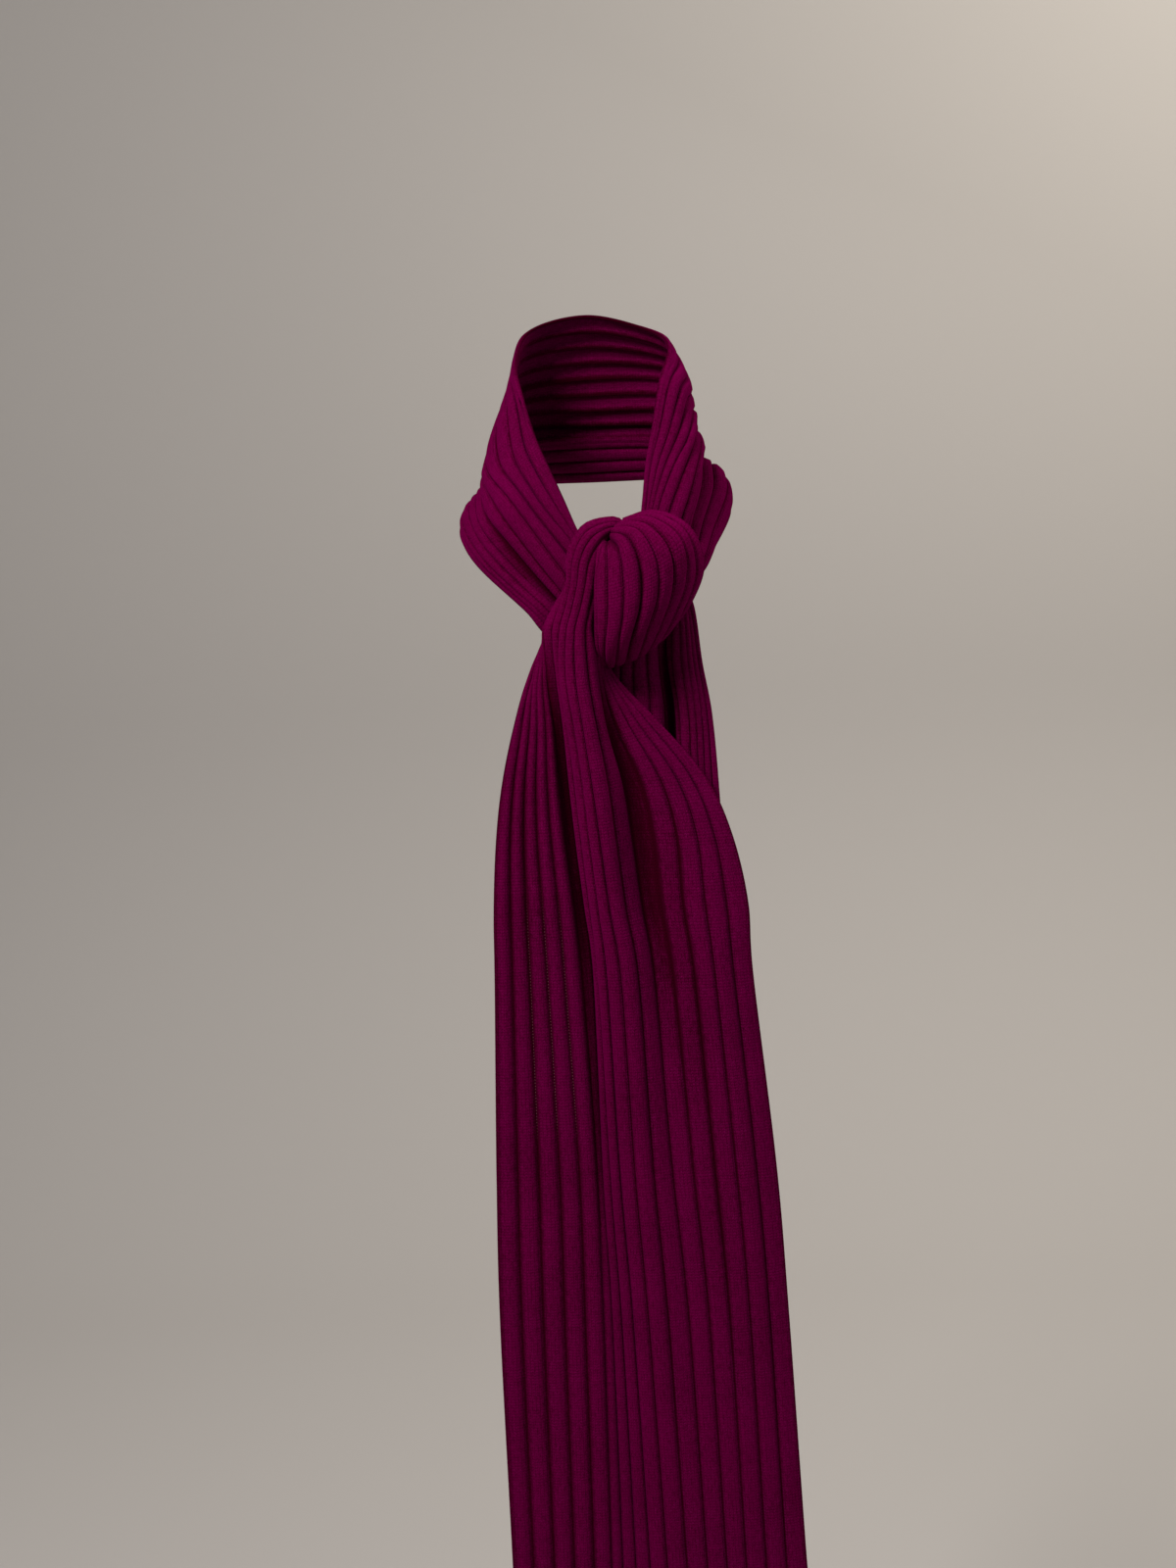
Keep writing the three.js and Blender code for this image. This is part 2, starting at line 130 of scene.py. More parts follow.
# From the middle of the nape, down the wearer's left side, to the knot.
NECK_RIGHT = [
    dict(neck=(3, 62, 107), upper=(3, 75, 85), face=(3, 83, 61),
         fold=(3, 88, 36), roll=(3, 97, 14), side=(3, 105, -5),
         brim=(3, 107, -12), under=(3, 99, -18), hem=(3, 84, 15)),
    dict(neck=(50, 48, 92), upper=(60, 58, 74), face=(66, 66, 55),
         fold=(68, 70, 32), roll=(74, 78, 9), side=(80, 85, -7),
         brim=(81, 87, -14), under=(75, 80, -20), hem=(61, 69, 11)),
    dict(neck=(61, 11, 75), upper=(73, 15, 54), face=(77, 21, 30),
         fold=(79, 29, 11), roll=(85, 39, -7), side=(91, 46, -22),
         brim=(92, 49, -28), under=(85, 49, -34), hem=(71, 37, -3)),
    dict(neck=(53, -20, 48), upper=(66, -20, 40), face=(76, -5, 25),
         fold=(79, 4, 11), roll=(87, 16, -7), side=(94, 24, -23),
         brim=(97, 29, -34), under=(90, 31, -41), hem=(76, 21, -13)),
    dict(neck=(46, -42, 13), upper=(57, -46, 9), face=(70, -39, 5),
         fold=(80, -25, -1), roll=(83, -3, -11), side=(100, 6, -25),
         brim=(103, 13, -39), under=(96, 17, -46), hem=(79, 7, -19)),
    dict(neck=(40, -56, -14), upper=(48, -61, -16), face=(58, -63, -19),
         fold=(73, -57, -24), roll=(80, -26, -32), side=(100, -6, -38),
         brim=(102, 2, -51), under=(95, 7, -57), hem=(79, -6, -36)),
    dict(neck=(36, -70, -40), upper=(41, -73, -42), face=(48, -76, -43),
         fold=(64, -76, -48), roll=(71, -54, -56), side=(87, -38, -63),
         brim=(88, -26, -74), under=(81, -20, -76), hem=(70, -30, -53)),
    dict(neck=(32, -80, -64), upper=(36, -83, -66), face=(41, -86, -68),
         fold=(53, -88, -73), roll=(63, -75, -79), side=(75, -69, -87),
         brim=(74, -61, -93), under=(68, -54, -93), hem=(59, -63, -69)),
    dict(neck=(26, -84, -84), upper=(29, -87, -86), face=(33, -90, -88),
         fold=(39, -92, -92), roll=(47, -87, -96), side=(57, -78, -102),
         brim=(56, -73, -106), under=(50, -67, -105), hem=(46, -72, -85)),
]

# %% The stretch over the front of the knot
# From the pinch at its top left corner to its underside.
WRAP_LINES = dict(crevice=0, near=1.7, crest=3.6, far=5.8, rim=8)
KNOT_WRAP = [
    dict(crevice=(4, -119, -71), near=(8, -118, -67), crest=(12, -114, -62),
         far=(16, -108, -59), rim=(21, -98, -57)),
    dict(crevice=(0, -127, -85), near=(13, -134, -77), crest=(27, -132, -66),
         far=(38, -118, -57), rim=(42, -98, -52)),
    dict(crevice=(-2, -128, -100), near=(14, -140, -96), crest=(36, -141, -86),
         far=(56, -127, -72), rim=(64, -102, -62)),
    dict(crevice=(-3, -126, -122), near=(13, -138, -120), crest=(35, -140, -110),
         far=(58, -126, -98), rim=(74, -102, -86)),
    dict(crevice=(-3, -120, -141), near=(9, -128, -141), crest=(27, -130, -134),
         far=(48, -120, -124), rim=(66, -100, -110)),
    dict(crevice=(0, -108, -154), near=(7, -110, -155), crest=(22, -110, -150),
         far=(38, -106, -141), rim=(52, -94, -128)),
    dict(crevice=(2, -92, -152), near=(9, -90, -150), crest=(20, -90, -146),
         far=(34, -88, -138), rim=(46, -82, -126)),
]

# %% The arch and the front tail
# Out of the top left of the knot as an arch, then down its side.
TAIL_LINES = dict(left=0, fold=4.7, tuck=6, brow=8, crest=9.5, valley=11, flange=13.3, right=16)
ARCH = [
    dict(left=(20, -90, -62), fold=(20, -97, -60), tuck=(20, -100, -60),
         brow=(19, -103, -61), crest=(19, -105, -64), valley=(20, -104, -67),
         flange=(23, -100, -70), right=(25, -93, -71)),
    dict(left=(14, -90, -62), fold=(12, -97, -57), tuck=(12, -105, -56),
         brow=(10, -112, -60), crest=(9, -113, -65), valley=(11, -107, -70),
         flange=(15, -102, -74), right=(18, -95, -74)),
    dict(left=(3, -95, -66), fold=(-4, -102, -61), tuck=(-8, -110, -61),
         brow=(-3, -121, -67), crest=(2, -121, -72), valley=(6, -114, -77),
         flange=(8, -107, -80), right=(10, -99, -80)),
    dict(left=(-9, -97, -81), fold=(-16, -103, -79), tuck=(-18, -112, -79),
         brow=(-11, -123, -81), crest=(-4, -124, -84), valley=(1, -117, -87),
         flange=(2, -108, -89), right=(1, -100, -89)),
    dict(left=(-11, -95, -99), fold=(-17, -101, -98), tuck=(-20, -111, -98),
         brow=(-14, -122, -99), crest=(-7, -125, -100), valley=(-2, -119, -101),
         flange=(-2, -110, -102), right=(-3, -101, -103)),
    dict(left=(-21, -92, -114), fold=(-30, -99, -114), tuck=(-26, -109, -114),
         brow=(-18, -121, -115), crest=(-11, -125, -116), valley=(-6, -120, -117),
         flange=(-5, -111, -118), right=(-7, -102, -118)),
]

# The sections of a tail hang at one height each, so a cell is x and y.
FRONT_TAIL = [
    dict(z=-133, left=(-35, -94), fold=(-40, -104), tuck=(-33, -111), brow=(-23, -121),
         crest=(-15, -126), valley=(-8, -120), flange=(-5, -110), right=(-5, -100)),
    dict(z=-165, left=(-53, -106), fold=(-41, -112), tuck=(-32, -110), brow=(-24, -122),
         crest=(-15, -129), valley=(-4, -120), flange=(1, -109), right=(6, -100)),
    dict(z=-200, left=(-65, -112), fold=(-38, -117), tuck=(-29, -113), brow=(-20, -126),
         crest=(-11, -134), valley=(1, -121), flange=(18, -109), right=(38, -104)),
    dict(z=-240, left=(-75, -118), fold=(-37, -121), tuck=(-27, -116), brow=(-16, -129),
         crest=(-6, -137), valley=(11, -119), flange=(42, -116), right=(70, -112)),
    dict(z=-280, left=(-81, -123), fold=(-35, -124), tuck=(-24, -119), brow=(-13, -132),
         crest=(-2, -138), valley=(16, -121), flange=(53, -123), right=(87, -120)),
    dict(z=-330, left=(-85, -126), fold=(-31, -126), tuck=(-20, -121), brow=(-9, -133),
         crest=(3, -137), valley=(21, -124), flange=(56, -128), right=(97, -124)),
    dict(z=-385, left=(-87, -127), fold=(-28, -127), tuck=(-16, -123), brow=(-5, -132),
         crest=(10, -136), valley=(28, -127), flange=(62, -131), right=(99, -125)),
    dict(z=-530, left=(-93, -127), fold=(-23, -127), tuck=(-15, -126), brow=(-2, -130),
         crest=(15, -133), valley=(36, -128), flange=(72, -130), right=(112, -123)),
    dict(z=-644, left=(-96, -127), fold=(-23, -127), tuck=(-13, -125), brow=(3, -128),
         crest=(21, -131), valley=(44, -128), flange=(79, -129), right=(118, -122)),
    dict(z=-840, left=(-96, -128), fold=(-25, -126), tuck=(-13, -125), brow=(8, -126),
         crest=(28, -129), valley=(51, -129), flange=(85, -129), right=(126, -124)),
    dict(z=-905, left=(-97, -128), fold=(-26, -127), tuck=(-14, -125), brow=(9, -126),
         crest=(30, -130), valley=(54, -130), flange=(89, -128), right=(130, -126)),
]

# %% The back tail
BACK_LINES = dict(left=0, inner=5.6, edge=8.2, fold=9.8, brink=12, right=16)
BACK_TAIL = [
    dict(z=-98, left=(4, -77), inner=(18, -81), edge=(31, -83), fold=(41, -79),
         brink=(50, -83), right=(60, -80)),
    dict(z=-120, left=(-3, -77), inner=(18, -83), edge=(35, -86), fold=(46, -81),
         brink=(57, -86), right=(68, -81)),
    dict(z=-160, left=(-14, -80), inner=(12, -87), edge=(34, -92), fold=(46, -83),
         brink=(58, -93), right=(72, -86)),
    dict(z=-200, left=(-28, -84), inner=(8, -90), edge=(36, -96), fold=(49, -86),
         brink=(62, -97), right=(78, -90)),
    dict(z=-260, left=(-44, -92), inner=(2, -96), edge=(33, -101), fold=(47, -92),
         brink=(61, -103), right=(81, -98)),
    dict(z=-340, left=(-58, -99), inner=(-8, -102), edge=(27, -106), fold=(42, -99),
         brink=(57, -108), right=(83, -104)),
    dict(z=-450, left=(-70, -103), inner=(-12, -105), edge=(23, -108), fold=(40, -103),
         brink=(57, -108), right=(88, -106)),
    dict(z=-600, left=(-76, -106), inner=(-14, -107), edge=(25, -109), fold=(43, -106),
         brink=(61, -109), right=(92, -108)),
    dict(z=-720, left=(-78, -107), inner=(-14, -108), edge=(26, -110), fold=(45, -107),
         brink=(64, -110), right=(94, -109)),
]

# %% [markdown]
# ## From a table to a smooth surface
#
# A curve through each row, and then a curve through the rows, gives the middle of the
# cloth at any rib and any row. Reading many places at once with numpy keeps it quick.

# %% Read the tables as surfaces
def through(places, values, at):
    """A smooth curve through values that stand at uneven places, read at many places."""
    places = np.asarray(places, float)
    last = len(places) - 1
    here = np.arange(last + 1)
    before, after = np.maximum(here - 1, 0), np.minimum(here + 1, last)
    wide = (-1,) + (1,) * (values.ndim - 1)
    slopes = (values[after] - values[before]) / (places[after] - places[before]).reshape(wide)
    i = np.clip(np.searchsorted(places, at, side="right") - 1, 0, last - 1)
    span = (places[i + 1] - places[i]).reshape(wide)
    t = ((at - places[i])).reshape(wide) / span
    return (
        (2 * t**3 - 3 * t**2 + 1) * values[i]
        + (t**3 - 2 * t**2 + t) * span * slopes[i]
        + (3 * t**2 - 2 * t**3) * values[i + 1]
        + (t**3 - t**2) * span * slopes[i + 1]
    )


def hanging(rows):
    """Sections that hang at one height each, as full cells."""
    return [
        {name: (*cell, row["z"]) for name, cell in row.items() if name != "z"}
        for row in rows
    ]


class Stretch:
    """One stretch of the strip, a smooth surface of rib and row."""

    def __init__(self, rows, lines, last_row=None):
        self.places = list(lines.values())
        self.cells = np.array([[row[name] for name in lines] for row in rows], float) * MM
        self.ribs = self.places[-1]
        self.last_row = len(rows) - 1 if last_row is None else last_row

    def middle(self, ribs, rows):
        """The middle of the cloth, in rows by ribs by x, y and z."""
        across = through(self.places, self.cells.swapaxes(0, 1), ribs)
        return through(range(len(self.cells)), across.swapaxes(0, 1), rows)

    def even_rows(self, count):
        """Rows that divide the stretch into even lengths."""
        fine = np.linspace(0, self.last_row, 40 * len(self.cells))
        lines = self.middle(np.linspace(0, self.ribs, 5), fine)
        steps = np.linalg.norm(np.diff(lines, axis=0), axis=2).mean(axis=1)
        run = np.concatenate([[0], np.cumsum(steps)])
        return np.interp(np.linspace(0, run[-1], count), run, fine), run[-1]


neck_rows = NECK_LEFT + NECK_RIGHT[1:]
HIDDEN_END = 0.3
STRETCHES = {
    "neck_loop": Stretch(neck_rows, NECK_LINES, len(neck_rows) - 1 - HIDDEN_END),
    "front_tail_cloth": Stretch(ARCH + hanging(FRONT_TAIL), TAIL_LINES),
    "knot_bulb": Stretch(KNOT_WRAP, WRAP_LINES),
    "back_tail_cloth": Stretch(hanging(BACK_TAIL), BACK_LINES),
}
for name, stretch in STRETCHES.items():
    print(f"{name}: {stretch.ribs} ribs, {stretch.even_rows(9)[1] / MM:.0f} mm long")

# %% [markdown]
# ## Ribs and creases
#
# A wide rib is a band of knit columns with one column of purl on each side. Knit stands
# up and purl sinks back, so the cloth rolls into flat bands with narrow grooves. Where
# the cloth is gathered the bands bend into round cords and the grooves go deeper. The
# back of the cloth shows the same relief turned inside out, which a thin shell gives by
# itself. Soft troughs and ridges are the larger creases.

# %% Shape of a rib
CLOTH = 2.3 * MM
CAD_CLOTH = 3.0 * MM
RIB_PITCH = 16 * MM
FLAT_RIB_DEPTH = 2.4 * MM
GATHERED_RIB_DEPTH = 3.5 * MM
STEEPEST_RIB = 0.42
# A high number makes flat ribs with narrow grooves, a low one round cords.
FLAT_SHARPNESS = 9
GATHERED_SHARPNESS = 2
# Slow waves that make one rib deeper than the next, as a share of the depth.
UNEVEN_DEPTH = [dict(share=0.10, by_rib=2.4, by_row=1.3), dict(share=0.06, by_rib=5.1, by_row=-2.2)]
# Some ribs at a side stay round cords also where the cloth lies flat.
ROUNDED_SIDES = {"front_tail_cloth": dict(end=5.5, by=0.55)}


def rib_relief(name, rib, row, pitch):
    """How far each place of the cloth stands up, and how far it lies down in a groove."""
    number = np.floor(rib)
    gathered = np.clip(1 - pitch / RIB_PITCH, 0, 1)
    if name in ROUNDED_SIDES:
        side = ROUNDED_SIDES[name]
        gathered = np.clip(gathered + side["by"] * np.clip(side["end"] - rib, 0, 1), 0, 1)
    sharpness = FLAT_SHARPNESS + (GATHERED_SHARPNESS - FLAT_SHARPNESS) * gathered
    groove = np.abs(np.cos(np.pi * rib)) ** sharpness
    uneven = 1 + sum(
        wave["share"] * np.sin(wave["by_rib"] * number + wave["by_row"] * row)
        for wave in UNEVEN_DEPTH
    )
    depth = FLAT_RIB_DEPTH + (GATHERED_RIB_DEPTH - FLAT_RIB_DEPTH) * gathered
    depth = np.minimum(depth * uneven, STEEPEST_RIB * pitch)
    return depth * (1 - groove), groove


# %% Edges of the strip
SELVEDGE_BEAD = dict(inside=1.4 * MM, width=1.3 * MM, height=0.9 * MM)
SELVEDGE_GROOVE = dict(inside=3.9 * MM, width=0.8 * MM, height=-0.9 * MM)
BIND_OFF_BEAD = dict(inside=1.6 * MM, width=1.8 * MM, height=1.0 * MM)
FAR_FROM_A_HEM = 1.0


def bump_at(distance, inside, width, height):
    return height * np.exp(-(((distance - inside) / width) ** 2))


def edge_relief(rib, ribs, pitch, to_hem):
    from_side = np.minimum(rib, ribs - rib) * pitch
    relief = bump_at(from_side, **SELVEDGE_BEAD) + bump_at(from_side, **SELVEDGE_GROOVE)
    return relief + bump_at(to_hem, **BIND_OFF_BEAD)


# %% Creases listed one by one
# Each runs from one rib and row to another. Width and depth are in millimetres, and a
# depth below zero is a ridge.
CREASES = {
    "neck_loop": [
        dict(rib=(3.0, 3.2), row=(2.2, 6.4), width=4, depth=1.2),
        dict(rib=(6.0, 6.0), row=(1.2, 5.2), width=5, depth=5.5),
        dict(rib=(9.0, 9.3), row=(2.5, 7.4), width=5, depth=-1.6),
        dict(rib=(4.6, 4.2), row=(6.5, 10.6), width=8, depth=2.2),
        dict(rib=(8.6, 8.2), row=(7.5, 12.5), width=7, depth=2.6),
        dict(rib=(8.0, 8.0), row=(11.6, 17.4), width=5, depth=6.0),
        dict(rib=(5.6, 5.2), row=(12.5, 16.5), width=4, depth=2.0),
        dict(rib=(3.0, 3.0), row=(12.8, 17.2), width=4, depth=1.4),
    ],
    "front_tail_cloth": [
        dict(rib=(2.0, 2.0), row=(7.5, 13.5), width=9, depth=1.6),
        dict(rib=(5.4, 5.5), row=(6.0, 13.5), width=5, depth=7.0),
        dict(rib=(11.3, 11.6), row=(6.6, 12.5), width=7, depth=7.5),
        dict(rib=(10.4, 10.4), row=(0.4, 2.8), width=5, depth=4.0),
        dict(rib=(8.6, 9.0), row=(8.0, 12.0), width=4, depth=1.0),
        dict(rib=(12.4, 12.9), row=(8.5, 14.2), width=12, depth=2.2),
        dict(rib=(14.2, 14.5), row=(10.0, 15.5), width=9, depth=-1.6),
    ],
    "knot_bulb": [
        dict(rib=(1.8, 1.8), row=(-0.8, 1.2), width=4, depth=5.0),
        dict(rib=(3.0, 3.0), row=(0.4, 5.4), width=3, depth=3.6),
        dict(rib=(5.0, 5.0), row=(0.6, 4.0), width=3, depth=1.0),
    ],
    "back_tail_cloth": [
        dict(rib=(9.8, 9.9), row=(1.0, 5.5), width=7, depth=7.0),
        dict(rib=(4.0, 4.5), row=(2.0, 7.5), width=10, depth=2.2),
        dict(rib=(13.2, 13.6), row=(2.5, 7.0), width=7, depth=1.8),
    ],
}


CREASE_FADE = 0.7


def crease_relief(name, rib, row, pitch):
    relief = np.zeros_like(pitch)
    for crease in CREASES[name]:
        (rib_0, rib_1), (row_0, row_1) = crease["rib"], crease["row"]
        run = np.clip((row - row_0) / (row_1 - row_0), 0, 1)
        aside = (rib - (rib_0 + (rib_1 - rib_0) * run)) * pitch
        fade = np.sin(np.pi * run) ** CREASE_FADE
        relief -= crease["depth"] * MM * fade * np.exp(-((aside / (crease["width"] * MM)) ** 2))
    return relief


# %% Lay a grid on a stretch
STITCH_ROW = 2.3 * MM
# A crease as deep as this gets the full painted shade of a fold.
DEEP_FOLD = 6 * MM
GROOVE_CROWDING = 0.055


def fine_places(ribs, steps):
    """Places across the ribs, closer together in the grooves."""
    even = np.linspace(0, ribs, int(ribs * steps) + 1)
    return even - GROOVE_CROWDING * np.sin(2 * np.pi * even)


def lay_cloth(name, stretch, rib_steps, row_count):
    """A grid of the cloth's middle, moved out to the form of its ribs and creases."""
    ribs = fine_places(stretch.ribs, rib_steps)
    rows, length = stretch.even_rows(row_count)
    middle = stretch.middle(ribs, rows)
    across = np.gradient(middle, ribs, axis=1)
    along = np.gradient(middle, rows, axis=0)
    outward = np.cross(along, across)
    outward /= np.linalg.norm(outward, axis=2, keepdims=True)
    pitch = np.linalg.norm(across, axis=2)
    rib, row = np.meshgrid(ribs, rows)
    run = np.linspace(0, length, row_count)[:, None]
    to_hem = length - run if name.endswith("tail_cloth") else np.full_like(run, FAR_FROM_A_HEM)
    raised, groove = rib_relief(name, rib, row, pitch)
    creased = crease_relief(name, rib, row, pitch)
    raised = raised + edge_relief(rib, stretch.ribs, pitch, to_hem) + creased
    surface = middle + outward * (raised + (CAD_CLOTH - CLOTH) / 2)[..., None]
    # How deep each place lies in a groove or a deep fold; the rib knit finish paints shade by it.
    hollow_shade = groove + np.clip(-creased / DEEP_FOLD, 0, 1)
    knit = np.stack([rib, run / STITCH_ROW + 0 * rib, hollow_shade], axis=2)
    return surface, knit, length


def grid_mesh(name, surface, knit):
    """A bmesh grid with one vertex for each place of the surface."""
    rows, columns = surface.shape[:2]
    bm = bmesh.new()
    bmesh.ops.create_grid(bm, x_segments=columns - 1, y_segments=rows - 1, size=0.5)
    bm.verts.ensure_lookup_table()
    layer = bm.verts.layers.float_vector.new("knit")
    for vertex in bm.verts:
        column = round((vertex.co.x + 0.5) * (columns - 1))
        row = round((0.5 - vertex.co.y) * (rows - 1))
        vertex[layer] = knit[row, column]
        vertex.co = surface[row, column]
    for face in bm.faces:
        face.smooth = True
    mesh = bpy.data.meshes.new(name)
    bm.to_mesh(mesh)
    bm.free()
    return mesh


def make_cloth(name, rib_steps, row_count):
    surface, knit, length = lay_cloth(name, STRETCHES[name], rib_steps, row_count)
    cloth = bpy.data.objects.new(name, grid_mesh(name, surface, knit))
    bpy.context.collection.objects.link(cloth)
    wall = cloth.modifiers.new("wall", "SOLIDIFY")
    wall.thickness = CLOTH
    wall.offset = 0
    print(f"{name}: {len(cloth.data.polygons)} faces on the middle, {length / MM:.0f} mm")
    return cloth, length


# %% [markdown]
# ## Material maths
#
# A shader graph is easier to read as a formula. A Value wraps one socket that carries a
# number, and the sums written on it add the Math nodes. A Finish holds a material and
# has one method that makes any other node.

# %% Write shader maths as formulas
class Value:
    """A number that changes over the surface."""

    def __init__(self, finish, socket):
        self.finish, self.socket = finish, socket

    def math(self, operation, *inputs):
        return self.finish.value("ShaderNodeMath", dict(operation=operation), inputs)

    def __add__(self, other):
        return self.math("ADD", self, other)

    def __sub__(self, other):
        return self.math("SUBTRACT", self, other)

    def __rsub__(self, other):
        return self.math("SUBTRACT", other, self)

    def __mul__(self, other):
        return self.math("MULTIPLY", self, other)

    def __pow__(self, other):
        return self.math("POWER", self, other)

    __radd__, __rmul__ = __add__, __mul__

    def abs(self):
        return self.math("ABSOLUTE", self)

    def fract(self):
        return self.math("FRACT", self)

    def wave(self):
        """Goes from 0 up to 1 and back as the number grows by 1."""
        return self.math("SINE", self.fract() * math.pi)

    def step(self, low, high):
        """Rises softly from 0 at low to 1 at high."""
        settings = dict(interpolation_type="SMOOTHSTEP")
        inputs = dict(Value=self, **{"From Min": low, "From Max": high})
        return self.finish.value("ShaderNodeMapRange", settings, inputs)

    def band(self, rises_from, full_from, full_to, gone_at):
        """Is 1 from full_from to full_to, and falls softly to 0 on both sides."""
        return self.step(rises_from, full_from) * (1 - self.step(full_to, gone_at))


class Finish:
    """A material, built node by node."""

    def __init__(self, name):
        self.material = bpy.data.materials.new(name)
        self.material.use_nodes = True
        self.tree = self.material.node_tree
        self.tree.nodes.clear()

    def node(self, kind, settings=(), inputs=()):
        made = self.tree.nodes.new(kind)
        for name, value in dict(settings).items():
            setattr(made, name, value)
        named = inputs.items() if isinstance(inputs, dict) else enumerate(inputs)
        for name, value in named:
            if isinstance(value, Value):
                value = value.socket
            if isinstance(value, bpy.types.NodeSocket):
                self.tree.links.new(value, made.inputs[name])
            else:
                made.inputs[name].default_value = value
        return made

    def value(self, kind, settings=(), inputs=(), output=0):
        return Value(self, self.node(kind, settings, inputs).outputs[output])


# %% [markdown]
# ## Rib knit
#
# The yarn is a fine, slightly fuzzy wool mix in deep magenta. Six columns of stitches
# make a rib. Each stitch is a small V, so a slanted wave across the column and along the
# cloth gives its two legs. Shade is painted into the colour: the grooves, the deep folds
# and the gaps between stitch legs are darker. The yarn's colour also drifts a little along
# each column. Fine pale fibres and sheen stand for the fuzz, painted highlights lie on the
# stitches beside a groove in places, and at the left of the front tail, where the cloth is
# stretched, tiny pin-holes show in the grooves.

# %% Stitches and pin-holes
STITCHES_PER_RIB = 6
STITCH_SLANT = 0.9
# Where a band of the finish starts to rise, is full, stops being full and is gone.
# EDGE_STITCH is the band beside a groove where highlights are painted on the stitches.
EDGE_STITCH = (0.05, 0.09, 0.11, 0.17)
STRETCHED_HEIGHTS = (-0.51, -0.47, -0.36, -0.30)
STRETCHED_RIBS = (1.4, 1.6, 4.3, 4.5)
BEHIND_FRONT_TAIL = (-0.119, -0.115)


def noise(finish, place, scale, detail, roughness=0.5):
    inputs = dict(Vector=place, Scale=scale, Detail=detail, Roughness=roughness)
    return finish.value("ShaderNodeTexNoise", inputs=inputs)


def stitch_height(rib, course):
    """How high the yarn stands in columns of small V-shaped stitches."""
    column = (rib * STITCHES_PER_RIB).fract()
    from_middle = (column - 0.5).abs()
    leg = (course - from_middle * STITCH_SLANT).wave()
    gap = (from_middle * 2).step(0.72, 1.0)
    cleft = 1 - (from_middle * 2).step(0.0, 0.22)
    return leg ** 0.6 * (1 - gap) * (1 - cleft * 0.45)


def pin_holes(finish, spot, rib, course, from_groove):
    """Tiny holes in the grooves, where the left of the front tail is stretched."""
    place = finish.node("ShaderNodeSeparateXYZ", inputs=[spot]).outputs
    depth, height = Value(finish, place["Y"]), Value(finish, place["Z"])
    stretched = height.band(*STRETCHED_HEIGHTS) * rib.band(*STRETCHED_RIBS)
    stretched = stretched * (1 - depth.step(*BEHIND_FRONT_TAIL))
    return (1 - from_groove.step(0.0, 0.05)) * course.wave().step(0.7, 0.95) * stretched


# %% Make the rib knit finish
YARN = (0.142, 0.0002, 0.046, 1)
# The yarn's colour in painted shade and at its deepest tone.
YARN_DEEP_AND_SHADED = (0.037, 0.0001, 0.0065, 1)
YARN_SHEEN = (0.44, 0.001, 0.19, 1)
# The pale fibres' colour, also used for the painted highlights beside the grooves.
YARN_PALE_AND_GLINT = (0.30, 0.010, 0.150, 1)
PIN_HOLE = (0.42, 0.16, 0.20, 1)
# How much each of these makes the yarn deeper in colour. The first two are painted shade, in the
# grooves and deep folds and between the stitch legs; the others vary the yarn's own tone at random.
SHADE = dict(hollow_shade=0.78, stitch_gap_shade=0.34, drift=0.5, fuzz=0.6, heather=1.5)
# How far each of these goes towards its own colour.
# EDGE_GLINT is a painted highlight on the stitches beside a groove.
FIBRES, EDGE_GLINT, HOLES = 0.30, 0.35, 0.6


def mix_colours(finish, factor, low, high):
    inputs = {"Factor": factor, 6: low, 7: high}
    return finish.node("ShaderNodeMix", dict(data_type="RGBA"), inputs).outputs[2]


